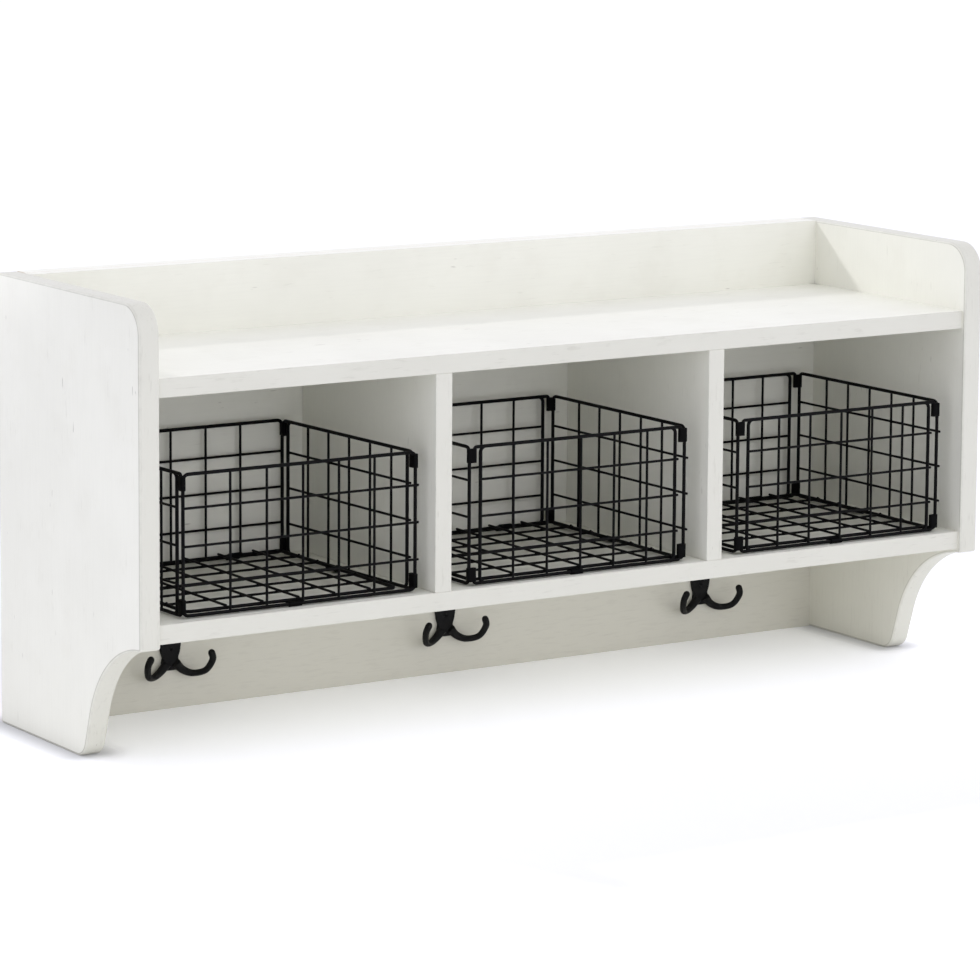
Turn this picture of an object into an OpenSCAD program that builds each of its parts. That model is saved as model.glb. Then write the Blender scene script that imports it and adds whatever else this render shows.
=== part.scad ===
// Wall-hung entryway shelf: a painted wooden case with a gallery top, three open
// cubbies, corbel-footed sides, three cast double hooks and three folding wire baskets.
// Frame: +X to the right, -Y out into the room, +Z up. The origin is on the wall plane,
// midway between the two keyhole hangers.

/* [Case] */
// Overall width of the case
case_w = 1016; // [960:1:1100]
// Depth of the side panels from the wall
case_d = 300; // [290:1:330]
// Overall height of the side panels
case_h = 460; // [450:1:480]
// Thickness of the side panels
side_t = 22; // [18:1:25]
// Thickness of the shelves and dividers
board_t = 19; // [16:1:22]
// Thickness of the back panel
back_t = 15; // [12:1:18]
// Thickness of the rails behind the back panel
rail_t = 18; // [15:1:20]
// Clear height of the cubbies
cubby_h = 220; // [215:1:235]
// Height of the bottom shelf's underside above the feet
leg_h = 131; // [128:1:140]
// Ease at the shelves' back corners, which clears glue in the case's inner corners
back_ease = 3; // [2:0.5:5]
// Distance that the shelf fronts stand behind the side panels' fronts
shelf_set_back = 4; // [2:1:8]
// Radius of the side panels' top front corners
corner_r = 30; // [20:1:40]

/* [Corbel foot] */
// Radius of the hollow curve under each side panel
foot_r = 117; // [110:1:120]
// Distance of the curve's centre in front of the side panel's front edge
foot_lead = 7; // [4:1:12]
// Height of the curve's centre above the foot
foot_rise = 10; // [8:1:12]
// Lean of the straight front edge below the curve, in degrees
foot_lean = 17.5; // [14:0.5:20]
// Radius of the toe
toe_r = 20; // [16:1:24]

/* [Rails and hangers] */
// Height of the top hanging rail
rail_h = 60; // [56:1:66]
// Height of the lower hook rail's bottom edge above the feet
low_rail_z = 40; // [30:1:45]
// Height of the lower hook rail
low_rail_h = 72; // [70:1:78]
// Spacing of the two keyhole hangers, two wall studs apart
hanger_spacing = 812.8; // [800:0.1:820]
// Depth of the hangers below the top edge
hanger_drop = 34; // [32:1:36]
// Radius of the keyhole's round entry
keyhole_r = 4.75; // [4:0.05:5]
// Half the width of the keyhole's slot
key_slot_r = 2.2; // [2:0.1:2.5]
// Height of the keyhole's slot above the entry's centre
key_slot_h = 12; // [10:1:13]
// Width of the hanger plate
hanger_w = 16; // [15:1:20]
// Thickness of the hanger plate
hanger_t = 2; // [1.5:0.1:3]

/* [Hooks] */
// Spacing of the three hooks
hook_spacing = 333; // [325:1:340]
// Height of the hooks' lower screws above the feet
hook_z = 63; // [60:1:66]
// Thickness of the hook's wall plate
hook_t = 4; // [3:0.5:5]
// Half the width of the hook plate at its head
hook_head_r = 15; // [14:1:17]
// Distance between the hook's two screws
hook_screw_gap = 30; // [28:1:32]
// Radius of a hook arm where it leaves the plate
arm_root_r = 5; // [4:0.1:5.2]
// Radius of a hook arm along its bend
arm_r = 3.5; // [3:0.1:4]
// Radius of a hook arm at its tip
arm_tip_r = 3.9; // [3:0.1:4.2]

/* [Baskets] */
// Room beside a basket in its cubby, both sides together, to its outer rods' centres
basket_room_w = 49.5; // [46:0.5:57]
// Room before and behind a basket on its shelf, both together, to its outer rods' centres
basket_room_d = 21; // [19:1:27]
// Height of a basket's walls, between the centres of the rim and bottom rods
basket_h = 138.5; // [130:0.5:145]
// Diameter of the rods that frame each panel
rod_d = 3.6; // [3:0.1:4]
// Diameter of the mesh wires
wire_d = 2.6; // [2:0.1:3]
// Radius of the frame rods' corner bends
bend_r = 6; // [5:0.5:8]
// Distance that the mesh sits off centre on the front, to the right
mesh_shift_w = 2.3; // [0:0.1:3]
// Distance that the mesh sits off centre on the sides
mesh_shift_d = 4.5; // [0:0.1:5]
// Spacing of the two corner rods that a clip joins
link_gap = 12.4; // [10:0.1:13]
// Height of a sheet clip along its rods
clip_len = 14; // [12:0.5:16]
// Thickness of the clips' sheet
clip_t = 0.8; // [0.6:0.1:0.9]
// Spacing of the floor hinge's two clips
hinge_spacing = 130; // [120:1:150]

/* [Basket places] */
// Distance of the left basket's middle to the right of its cubby's middle
left_shift = 3; // [0:0.5:6]
// Distance of the left basket's front rods behind the shelf's front
left_set_back = 14; // [10:0.5:16]
// Racking of the left basket: how far its front stands to the right of its back
left_rack = 13; // [0:0.5:14]
// Distance of the middle basket's middle to the right of its cubby's middle
middle_shift = 0.5; // [0:0.5:6]
// Distance of the middle basket's front rods behind the shelf's front
middle_set_back = 10; // [8:0.5:14]
// Racking of the middle basket
middle_rack = 4; // [0:0.5:10]
// Distance of the right basket's middle to the right of its cubby's middle
right_shift = 0; // [0:0.5:6]
// Distance of the right basket's front rods behind the shelf's front
right_set_back = 11; // [8:0.5:14]
// Racking of the right basket
right_rack = 5; // [0:0.5:10]

/* [Fasteners] */
// Diameter of the glued dowels
dowel_d = 8; // [6:1:8]
// Depth of a dowel in a side panel or a shelf's face
dowel_in_face = 11; // [9:1:12]
// Depth of a dowel in a board's end
dowel_in_end = 19; // [15:1:22]
// Diameter of the wood screws
screw_d = 4; // [3.5:0.5:4.5]
// Diameter of the wood screws' heads
screw_head_d = 8; // [7:0.5:8.5]

/* [Clearances] */
// Radial gap of a glued dowel or a driven screw in its hole
joint_gap = 0.05; // [0.02:0.01:0.1]
// Radial gap of a rod inside a clip
clip_gap = 0.1; // [0.05:0.01:0.1]
// Radial gap of the floor's rods in their clips
hinge_gap = 0.3; // [0.2:0.05:0.4]
// Gap between a basket and the shelf that it stands on
rest_gap = 0.3; // [0.2:0.1:0.5]
// Gap round a hanger plate in its pocket
pocket_gap = 0.3; // [0.2:0.1:0.5]

/* [Hidden] */
$fn = 48;
eps = 1;

paint = [0.92, 0.92, 0.89];
bare_wood = [0.72, 0.58, 0.40];
black_iron = [0.08, 0.08, 0.085];
zinc = [0.72, 0.73, 0.75];

// Case levels, measured from the feet
hanger_z = case_h - hanger_drop;
low_shelf_top = leg_h + board_t;
top_shelf_bottom = low_shelf_top + cubby_h;
top_shelf_top = top_shelf_bottom + board_t;
inner_w = case_w - 2 * side_t;
cubby_w = (inner_w - 2 * board_t) / 3;
divider_x = (cubby_w + board_t) / 2;
back_face = rail_t + back_t;
shelf_front = case_d - shelf_set_back;
shelf_d = shelf_front - back_face;

// Dowel and screw places
side_dowel_y = [70, 165, 260];
divider_dowel_y = [90, 240];
back_screw_x = [-420, -140, 140, 420];
rail_screw_x = [-240, 0, 240];
back_screw_len = 40;
rail_screw_len = 30;
hook_screw_len = 26;
hanger_screw_len = 14;
hanger_screw_d = 3.5;
hanger_screw_head_d = 6.5;
hanger_low = 22;
hanger_high = 30;
hanger_screw_low = 16;
hanger_screw_high = 24;
key_room_r = 6.5;
key_room_d = 8;

// Hook arm, from the plate's foot round to its tip: across, out from the board, and up
// from the lower screw
arm_route = [[5, 5.2, -14], [12.5, 5, -22], [22.5, 8.6, -26.3], [33.2, 17.5, -22.9],
             [37.6, 24.7, -11], [35.3, 26.7, -3.2]];
arm_steps = 5;
arm_flare = 0.45;
arm_swell = 0.6;
arm_sides = 10;

// Basket sizes between the outer rods' centres, and the pitches of their wires
basket_w = cubby_w - basket_room_w;
basket_d = shelf_front - back_face - basket_room_d;
mesh_pitch_w = basket_w / 6.44;
mesh_pitch_d = basket_d / 6.4;
mesh_pitch_h = basket_h / 3.7;
mesh_drop = 1;

// Baskets: cubby, shift, set-back, racking, and whether the front and back walls pass the
// side walls
LEFT = [-1, left_shift, left_set_back, left_rack, true];
MIDDLE = [0, middle_shift, middle_set_back, middle_rack, false];
RIGHT = [1, right_shift, right_set_back, right_rack, false];
corner_gap = 1;
mesh_lift = 2.3;
mesh_set = 0.2;
stub = 0.5;
floor_stub = 1;
floor_stub_back = 0.5;
floor_in = 5.2;
floor_in_back = 6.8;
floor_up = 2.8;
floor_wire_up = 2.7;
floor_mesh_shift = 5.4;
cradle_shift = 10;
clip_ease = 0.5;
web_in = 0.05;
rod_r = rod_d / 2;
wire_r = wire_d / 2;
clip_bore = rod_r + clip_gap;
clip_r = clip_bore + clip_t;
hinge_bore = rod_r + hinge_gap;
hinge_r = hinge_bore + clip_t;
rod_base = low_shelf_top + rest_gap + clip_r;

function basket_x(b) = b[0] * (cubby_w + board_t) + b[1];
function basket_y(b) = -(shelf_front - b[2] - basket_d / 2);
function rack(b) = b[3];
function wide_front(b) = b[4];
function front_len(b) = wide_front(b) ? basket_w : basket_w - 2 * link_gap;
function side_len(b) = wide_front(b) ? basket_d - 2 * link_gap : basket_d - 2 * corner_gap;
function side_x(b) = basket_w / 2 - (wide_front(b) ? corner_gap : 0);
function rack_angle(b) = atan2(rack(b), basket_d);
function floor_w(b) = 2 * (side_x(b) - floor_in) - rack(b);
floor_front = -basket_d / 2 + floor_in;
floor_back = basket_d / 2 - floor_in_back;
floor_d = floor_back - floor_front;

// Corner posts of a wall, as [x, y] in the basket's own frame. s is -1 or 1 for the left
// or right, e is -1 or 1 for the front or back.
function end_post(b, s, e) = [s * front_len(b) / 2 - e * rack(b) / 2, e * basket_d / 2];
function side_post(b, s, e) = [s * side_x(b) - e * side_len(b) / 2 * sin(rack_angle(b)),
                               e * side_len(b) / 2 * cos(rack_angle(b))];

// ---------- helpers ----------

// Puts a shape drawn up from the feet into the part's frame
module from_feet() {
    translate([0, 0, -hanger_z]) children();
}

// A board from its low corner
module board(low, size) {
    translate(low) cube(size);
}

// A cylinder from p along +X, +Y or +Z
module rod_x(p, len, r) {
    translate(p) rotate([0, 90, 0]) cylinder(h = len, r = r);
}
module rod_y(p, len, r) {
    translate(p) rotate([-90, 0, 0]) cylinder(h = len, r = r);
}
module rod_z(p, len, r) {
    translate(p) cylinder(h = len, r = r);
}

// A countersunk wood screw whose head is flush at the origin and whose tip points to +Y.
// grow opens it into its own hole.
module wood_screw(len, d, head_d, grow = 0) {
    head_h = (head_d - d) / 2;
    rotate([-90, 0, 0]) {
        cylinder(h = len + grow, r = d / 2 + grow);
        cylinder(h = head_h, r1 = head_d / 2 + grow, r2 = d / 2 + grow);
    }
}

// Dowels between the shelves and the side panels
module side_dowel_set(grow = 0) {
    for (s = [-1, 1], z = [leg_h + board_t / 2, top_shelf_bottom + board_t / 2], y = side_dowel_y) {
        x_in = inner_w / 2 - dowel_in_end;
        len = dowel_in_end + dowel_in_face;
        translate([s * (x_in + len / 2), -y, z])
            rod_x([-(len + 2 * grow) / 2, 0, 0], len + 2 * grow, dowel_d / 2 + grow);
    }
}

// Dowels between the dividers and the shelves
module divider_dowel_set(grow = 0) {
    for (s = [-1, 1], y = divider_dowel_y) {
        rod_z([s * divider_x, -y, low_shelf_top - dowel_in_face - grow],
              dowel_in_face + dowel_in_end + 2 * grow, dowel_d / 2 + grow);
        rod_z([s * divider_x, -y, top_shelf_bottom - dowel_in_end - grow],
              dowel_in_face + dowel_in_end + 2 * grow, dowel_d / 2 + grow);
    }
}

// Screws driven forwards through the back panel into the shelves
module back_screw_set(grow = 0) {
    for (x = back_screw_x, z = [leg_h + board_t / 2, top_shelf_bottom + board_t / 2])
        translate([x, -rail_t, z]) rotate([0, 0, 180])
            wood_screw(back_screw_len, screw_d, screw_head_d, grow);
}

// Screws driven forwards through the rails into the back panel
module rail_screw_set(grow = 0) {
    for (x = rail_screw_x, z = [case_h - rail_h / 2, low_rail_z + low_rail_h / 2])
        translate([x, 0, z]) rotate([0, 0, 180])
            wood_screw(rail_screw_len, screw_d, screw_head_d, grow);
}

// Screws driven back through the hooks into the back panel and the hook rail
module hook_screw_set(grow = 0) {
    for (i = [-1, 0, 1], dz = [0, hook_screw_gap])
        translate([i * hook_spacing, -back_face - hook_t, hook_z + dz])
            wood_screw(hook_screw_len, screw_d, screw_head_d, grow);
}

// Screws that hold the hanger plates in the rail
module hanger_screw_set(grow = 0) {
    for (s = [-1, 1], dz = [-hanger_screw_low, hanger_screw_high])
        translate([s * hanger_spacing / 2, 0, hanger_z + dz]) rotate([0, 0, 180])
            wood_screw(hanger_screw_len, hanger_screw_d, hanger_screw_head_d, grow);
}

// ---------- case ----------

// Outline of a side panel: depth from the wall across, height up
module side_outline() {
    foot_x = case_d + foot_lead;
    lean_top = [foot_x - foot_r * cos(foot_lean), foot_rise + foot_r * sin(foot_lean)];
    lean_end = lean_top[0] - lean_top[1] * tan(foot_lean);
    toe = [lean_end - toe_r * tan(45 - foot_lean / 2), toe_r];
    difference() {
        square([case_d, case_h]);
        translate([case_d - corner_r, case_h - corner_r]) difference() {
            square([corner_r + eps, corner_r + eps]);
            circle(r = corner_r, $fn = 96);
        }
        translate([foot_x, foot_rise]) circle(r = foot_r, $fn = 180);
        polygon([lean_top, [lean_end - eps * tan(foot_lean), -eps], [foot_x, -eps], [foot_x, lean_top[1]]]);
        difference() {
            polygon([toe, [toe[0], -eps], [lean_end + eps, -eps],
                     toe + (toe_r + eps) * [cos(foot_lean), -sin(foot_lean)]]);
            translate(toe) circle(r = toe_r, $fn = 64);
        }
    }
}

module side_panel(s) {
    color(paint) from_feet() difference() {
        translate([s * (case_w - side_t) / 2 - side_t / 2, 0, 0])
            rotate([90, 0, -90]) mirror([0, 0, 1])
            linear_extrude(side_t) side_outline();
        side_dowel_set(joint_gap);
    }
}
module side_panel_left() side_panel(-1);
module side_panel_right() side_panel(1);

// A shelf whose underside is z above the feet
module shelf(z) {
    half = inner_w / 2;
    in = back_face + back_ease;
    color(paint) from_feet() difference() {
        translate([0, 0, z]) mirror([0, 1, 0]) linear_extrude(board_t)
            polygon([[-half, shelf_front], [half, shelf_front], [half, in], [half - back_ease, back_face],
                     [back_ease - half, back_face], [-half, in]]);
        side_dowel_set(joint_gap);
        divider_dowel_set(joint_gap);
        back_screw_set(joint_gap);
    }
}
module top_shelf() shelf(top_shelf_bottom);
module bottom_shelf() shelf(leg_h);

module divider(s) {
    color(paint) from_feet() difference() {
        board([s * divider_x - board_t / 2, -shelf_front, low_shelf_top], [board_t, shelf_d, cubby_h]);
        divider_dowel_set(joint_gap);
    }
}
module divider_left() divider(-1);
module divider_right() divider(1);

module back_panel() {
    color(paint) from_feet() difference() {
        board([-inner_w / 2, -back_face, 0], [inner_w, back_t, case_h]);
        back_screw_set(joint_gap);
        rail_screw_set(joint_gap);
        hook_screw_set(joint_gap);
    }
}

// Outline of a hanger plate, round at both ends
module hanger_outline(grow = 0) {
    r = hanger_w / 2 + grow;
    for (z = [-hanger_low + hanger_w / 2, hanger_high - hanger_w / 2])
        translate([0, z]) circle(r = r);
    translate([-r, -hanger_low + hanger_w / 2])
        square([2 * r, hanger_low + hanger_high - hanger_w]);
}

// Keyhole: round entry with a narrow slot above it
module keyhole(entry_r, slot_r) {
    circle(r = entry_r);
    translate([-slot_r, 0]) square([2 * slot_r, key_slot_h]);
    translate([0, key_slot_h]) circle(r = slot_r);
}

// Places a flat outline in both hangers' places, t deep into the rail from depth y
module at_hangers(y, t) {
    for (s = [-1, 1])
        translate([s * hanger_spacing / 2, -y, hanger_z]) rotate([90, 0, 0])
            linear_extrude(t) children();
}

module hanging_rail() {
    color(bare_wood) from_feet() difference() {
        board([-inner_w / 2, -rail_t, case_h - rail_h], [inner_w, rail_t, rail_h]);
        translate([0, eps, 0]) at_hangers(0, hanger_t + eps) hanger_outline(pocket_gap);
        at_hangers(hanger_t - eps / 2, key_room_d) keyhole(key_room_r, key_room_r);
        rail_screw_set(joint_gap);
        hanger_screw_set(joint_gap);
    }
}

module hook_rail() {
    color(bare_wood) from_feet() difference() {
        board([-inner_w / 2, -rail_t, low_rail_z], [inner_w, rail_t, low_rail_h]);
        rail_screw_set(joint_gap);
        hook_screw_set(joint_gap);
    }
}

module hanger_plates() {
    color(zinc) from_feet() difference() {
        at_hangers(0, hanger_t) difference() {
            hanger_outline();
            keyhole(keyhole_r, key_slot_r);
        }
        hanger_screw_set(joint_gap);
    }
}

module hanger_screws() color(zinc) from_feet() hanger_screw_set();
module rail_screws() color(zinc) from_feet() rail_screw_set();
module back_screws() color(zinc) from_feet() back_screw_set();
module side_dowels() color(bare_wood) from_feet() side_dowel_set();
module divider_dowels() color(bare_wood) from_feet() divider_dowel_set();

// ---------- hooks ----------

// A point on the smooth curve through the route p, a share u past its point i
function spline(p, i, u) =
    let (a = p[max(i - 1, 0)], b = p[i], c = p[i + 1], d = p[min(i + 2, len(p) - 1)])
    0.5 * (2 * b + (c - a) * u + (2 * a - 5 * b + 4 * c - d) * u * u
           + (3 * b - a - 3 * c + d) * u * u * u);
function unit(v) = v / norm(v);

// Radius of an arm a share u along it: flared over its first part, swelling to its tip
function arm_radius(u) =
    arm_r + (arm_root_r - arm_r) * max(0, 1 - u / arm_flare)
    + (arm_tip_r - arm_r) * max(0, (u - arm_swell) / (1 - arm_swell));

// The arm's rings as [centre, radius, direction], closed by a round tip
arm_last = len(arm_route) - 1;
arm_path = [for (i = [0 : arm_last - 1], k = [0 : arm_steps - 1]) spline(arm_route, i, k / arm_steps),
            arm_route[arm_last]];
arm_n = len(arm_path);
tip_dir = unit(arm_path[arm_n - 1] - arm_path[arm_n - 2]);
arm_rings = [
    for (i = [0 : arm_n - 1])
        [arm_path[i], arm_radius(i / (arm_n - 1)),
         unit(arm_path[min(i + 1, arm_n - 1)] - arm_path[max(i - 1, 0)])],
    for (a = [30, 60, 80])
        [arm_path[arm_n - 1] + tip_dir * arm_tip_r * sin(a), arm_tip_r * cos(a), tip_dir]
];

// A tapering tube swept along the arm's rings, s = -1 or 1 for the left or right arm
module hook_arm(s) {
    flip = function (p) [s * p[0], -p[1], p[2]];
    n = len(arm_rings);
    points = [for (ring = arm_rings)
        let (t = flip(ring[2]), side = unit(cross(t, [-s * 0.4, -1, 0.2])), up = cross(side, t))
        for (k = [0 : arm_sides - 1])
            let (a = 360 * k / arm_sides) flip(ring[0]) + ring[1] * (cos(a) * side + sin(a) * up)];
    quads = [for (i = [0 : n - 2], k = [0 : arm_sides - 1])
        let (m = (k + 1) % arm_sides)
        [i * arm_sides + k, i * arm_sides + m, (i + 1) * arm_sides + m, (i + 1) * arm_sides + k]];
    root = [for (k = [arm_sides - 1 : -1 : 0]) k];
    tip = [for (k = [0 : arm_sides - 1]) (n - 1) * arm_sides + k];
    polyhedron(points = points, faces = concat(quads, [root], [tip]), convexity = 4);
}

// Half outline of the plate, from its foot up to the round head
hook_half = [[0, -22.5], [5.5, -22.3], [9.8, -18], [10, -14], [9, -9], [11, -3], [12.5, 7], [14.4, 20],
             [hook_head_r, hook_screw_gap]];

module hook_outline() {
    polygon(concat(hook_half, [for (i = [len(hook_half) - 1 : -1 : 1]) [-hook_half[i][0], hook_half[i][1]]]));
    translate([0, hook_screw_gap]) circle(r = hook_head_r);
}

module coat_hook(i) {
    color(black_iron) from_feet() difference() {
        translate([i * hook_spacing, -back_face, hook_z]) {
            rotate([90, 0, 0]) linear_extrude(hook_t) hook_outline();
            for (s = [-1, 1]) hook_arm(s);
        }
        hook_screw_set(joint_gap);
    }
}
module coat_hook_left() coat_hook(-1);
module coat_hook_middle() coat_hook(0);
module coat_hook_right() coat_hook(1);
module hook_screws() color(black_iron) from_feet() hook_screw_set();

// ---------- baskets ----------

// Closed loop of rod with bent corners, w by h between the rods' centres, standing in XZ
module rod_loop(w, h) {
    for (e = [0, 1]) {
        rod_x([-w / 2 + bend_r, 0, e * h], w - 2 * bend_r, rod_r);
        rod_z([(e - 0.5) * w, 0, bend_r], h - 2 * bend_r, rod_r);
    }
    for (i = [0, 1], e = [0, 1])
        translate([(i - 0.5) * (w - 2 * bend_r), 0, e * h + (1 - 2 * e) * bend_r])
            mirror([1 - i, 0, 0]) mirror([0, 0, 1 - e]) rotate([90, 0, 0])
            rotate_extrude(angle = 90) translate([bend_r, 0]) circle(r = rod_r, $fn = 24);
}

// A welded wire wall, facing -Y, with its bottom rod on the X axis
module wire_wall(w, pitch, shift) {
    rod_loop(w, basket_h);
    for (i = [-2 : 2]) rod_z([shift + i * pitch, -mesh_set, 0], basket_h, wire_r);
    for (i = [-1 : 1])
        rod_x([-w / 2 - rod_r - stub, -mesh_lift, basket_h / 2 - mesh_drop + i * mesh_pitch_h],
              w + 2 * (rod_r + stub), wire_r);
}

// Puts a shape drawn about a basket's middle at the level of its bottom rods into the part
module in_basket(b) {
    from_feet() translate([basket_x(b), basket_y(b), rod_base]) children();
}

module basket_front(b) {
    color(black_iron) in_basket(b)
        translate([rack(b) / 2, -basket_d / 2, 0]) wire_wall(front_len(b), mesh_pitch_w, mesh_shift_w);
}

module basket_back(b) {
    color(black_iron) in_basket(b)
        translate([-rack(b) / 2, basket_d / 2, 0]) rotate([0, 0, 180])
        wire_wall(front_len(b), mesh_pitch_w, 0);
}

module basket_side(b, s) {
    color(black_iron) in_basket(b)
        translate([s * side_x(b), 0, 0]) rotate([0, 0, rack_angle(b) + s * 90])
        wire_wall(side_len(b), mesh_pitch_d, -s * mesh_shift_d);
}

// The floor: a level rod loop with cross wires, the ones that run front to back on top
module basket_floor(b) {
    w = floor_w(b);
    long_low = floor_front - rod_r - floor_stub;
    long_high = floor_back + rod_r + floor_stub_back;
    cross_out = rod_r + floor_stub;
    color(black_iron) in_basket(b) translate([0, 0, floor_up]) {
        translate([0, floor_back, 0]) rotate([90, 0, 0]) rod_loop(w, floor_d);
        rod_x([-w / 2, 0, 0], w, rod_r);
        for (i = [-2 : 2]) {
            rod_y([floor_mesh_shift + i * mesh_pitch_w, long_low, floor_wire_up], long_high - long_low, wire_r);
            if (i != 0)
                rod_x([-w / 2 - cross_out, i * mesh_pitch_d, floor_wire_up - wire_d + mesh_set],
                      w + 2 * cross_out, wire_r);
        }
    }
}

// Flat outline of a sheet clip folded round two rods, from p to q
module clip_outline(p, q) {
    d = q - p;
    half = clip_r - web_in;
    difference() {
        union() {
            translate(p) circle(r = clip_r);
            translate(q) circle(r = clip_r);
            translate(p) rotate(atan2(d[1], d[0])) translate([0, -half]) square([norm(d), 2 * half]);
        }
        translate(p) circle(r = clip_bore);
        translate(q) circle(r = clip_bore);
    }
}

// Clips that hinge each wall to the next, at the top and the bottom of every corner
module basket_corner_clips(b) {
    color(black_iron) in_basket(b)
        for (s = [-1, 1], e = [-1, 1], z = [bend_r + clip_ease, basket_h - bend_r - clip_ease - clip_len])
            translate([0, 0, z]) linear_extrude(clip_len) clip_outline(end_post(b, s, e), side_post(b, s, e));
}

// Flat outline of a clip that wraps a wall's bottom rod at the origin and cradles the
// floor's rod from below, reach away and floor_up higher. slack opens the cradle.
module cradle_outline(reach, slack = 0) {
    tilt = atan2(floor_up, reach);
    bore = hinge_bore + slack;
    out = bore + clip_t;
    difference() {
        union() {
            circle(r = clip_r);
            translate([reach, floor_up]) intersection() {
                circle(r = out);
                translate([-out, -out]) square([2 * out, out]);
            }
            rotate(tilt) translate([0, web_in - clip_r]) square([norm([reach, floor_up]), 2 * clip_t]);
        }
        circle(r = clip_bore);
        translate([reach, floor_up]) circle(r = bore);
        translate([reach - bore, floor_up]) square([2 * bore, out]);
    }
}

// The hinge clip's outline, folded round a wall's bottom rod and the floor's back rod
module hinge_outline() {
    floor_rod = [-floor_in_back, floor_up];
    difference() {
        union() {
            circle(r = clip_r);
            translate(floor_rod) circle(r = hinge_r);
            rotate(atan2(floor_rod[1], floor_rod[0])) translate([0, web_in - clip_r])
                square([norm(floor_rod), 2 * (clip_r - web_in)]);
        }
        circle(r = clip_bore);
        translate(floor_rod) circle(r = hinge_bore);
    }
}

// Floor clips: two hinge clips at the back, and open cradles at the front and both sides
module basket_floor_clips(b) {
    lean = tan(rack_angle(b));
    side_reach = side_x(b) - floor_w(b) / 2;
    color(black_iron) in_basket(b) {
        for (s = [-1, 1]) {
            translate([s * hinge_spacing / 2 - clip_len / 2, basket_d / 2, 0]) rotate([90, 0, 90])
                linear_extrude(clip_len) hinge_outline();
            translate([s * side_x(b), 0, 0]) rotate([0, 0, rack_angle(b)])
                translate([0, cradle_shift + clip_len / 2, 0]) mirror([s < 0 ? 0 : 1, 0, 0])
                rotate([90, 0, 0]) linear_extrude(clip_len)
                cradle_outline(side_reach - s * cradle_shift * lean, clip_len / 2 * lean);
        }
        difference() {
            translate([-clip_len / 2, -basket_d / 2, 0]) rotate([90, 0, 90])
                linear_extrude(clip_len) cradle_outline(floor_in);
            rod_z([rack(b) / 2 + mesh_shift_w, -basket_d / 2 - mesh_set, 0], floor_up, wire_r + mesh_set);
        }
    }
}

// ---------- assembly ----------

side_panel_left();
side_panel_right();
top_shelf();
bottom_shelf();
divider_left();
divider_right();
back_panel();
hanging_rail();
hook_rail();
hanger_plates();
hanger_screws();
rail_screws();
back_screws();
side_dowels();
divider_dowels();
coat_hook_left();
coat_hook_middle();
coat_hook_right();
hook_screws();
basket_front(LEFT);  // left_basket_front
basket_back(LEFT);  // left_basket_back
basket_side(LEFT, -1);  // left_basket_left_side
basket_side(LEFT, 1);  // left_basket_right_side
basket_floor(LEFT);  // left_basket_floor
basket_corner_clips(LEFT);  // left_basket_corner_clips
basket_floor_clips(LEFT);  // left_basket_floor_clips
basket_front(MIDDLE);  // middle_basket_front
basket_back(MIDDLE);  // middle_basket_back
basket_side(MIDDLE, -1);  // middle_basket_left_side
basket_side(MIDDLE, 1);  // middle_basket_right_side
basket_floor(MIDDLE);  // middle_basket_floor
basket_corner_clips(MIDDLE);  // middle_basket_corner_clips
basket_floor_clips(MIDDLE);  // middle_basket_floor_clips
basket_front(RIGHT);  // right_basket_front
basket_back(RIGHT);  // right_basket_back
basket_side(RIGHT, -1);  // right_basket_left_side
basket_side(RIGHT, 1);  // right_basket_right_side
basket_floor(RIGHT);  // right_basket_floor
basket_corner_clips(RIGHT);  // right_basket_corner_clips
basket_floor_clips(RIGHT);  // right_basket_floor_clips
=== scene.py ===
import math

import bmesh
import bpy
from mathutils import Matrix, Vector


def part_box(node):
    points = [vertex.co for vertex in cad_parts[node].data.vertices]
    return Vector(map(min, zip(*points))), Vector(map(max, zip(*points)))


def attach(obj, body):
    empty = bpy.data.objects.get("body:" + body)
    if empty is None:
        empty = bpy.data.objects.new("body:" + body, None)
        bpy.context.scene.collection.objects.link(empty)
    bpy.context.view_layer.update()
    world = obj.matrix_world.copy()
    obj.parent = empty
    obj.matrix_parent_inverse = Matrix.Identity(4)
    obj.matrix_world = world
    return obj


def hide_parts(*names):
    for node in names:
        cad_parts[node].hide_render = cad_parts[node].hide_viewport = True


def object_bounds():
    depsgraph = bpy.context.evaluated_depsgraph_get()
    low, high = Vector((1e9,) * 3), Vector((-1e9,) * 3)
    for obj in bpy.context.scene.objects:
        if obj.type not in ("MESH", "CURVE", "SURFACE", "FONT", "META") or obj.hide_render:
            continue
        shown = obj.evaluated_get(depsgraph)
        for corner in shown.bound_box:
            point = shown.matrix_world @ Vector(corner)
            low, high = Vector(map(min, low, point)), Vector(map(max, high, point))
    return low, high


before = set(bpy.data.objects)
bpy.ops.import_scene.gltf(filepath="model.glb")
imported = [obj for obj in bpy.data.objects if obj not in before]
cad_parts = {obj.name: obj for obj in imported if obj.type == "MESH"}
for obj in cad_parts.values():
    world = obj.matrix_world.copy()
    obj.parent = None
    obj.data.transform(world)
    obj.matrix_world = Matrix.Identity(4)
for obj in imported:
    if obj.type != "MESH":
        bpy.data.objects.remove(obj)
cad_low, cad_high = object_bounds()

# ---- Camera -------------------------------------------------------------------------
# Stands well to the left of the shelf and a little above it, on a long lens that is
# shifted down, so that the uprights stay nearly upright.
def placed(name, data):
    """An object in the scene that shows the data."""
    made = bpy.data.objects.new(name, data)
    bpy.context.collection.objects.link(made)
    return made


eye = Vector((-2.4516, -3.9542, 0.586))
heading, drop, roll = math.radians(32.601), math.radians(8.026), math.radians(0.362)

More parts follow.
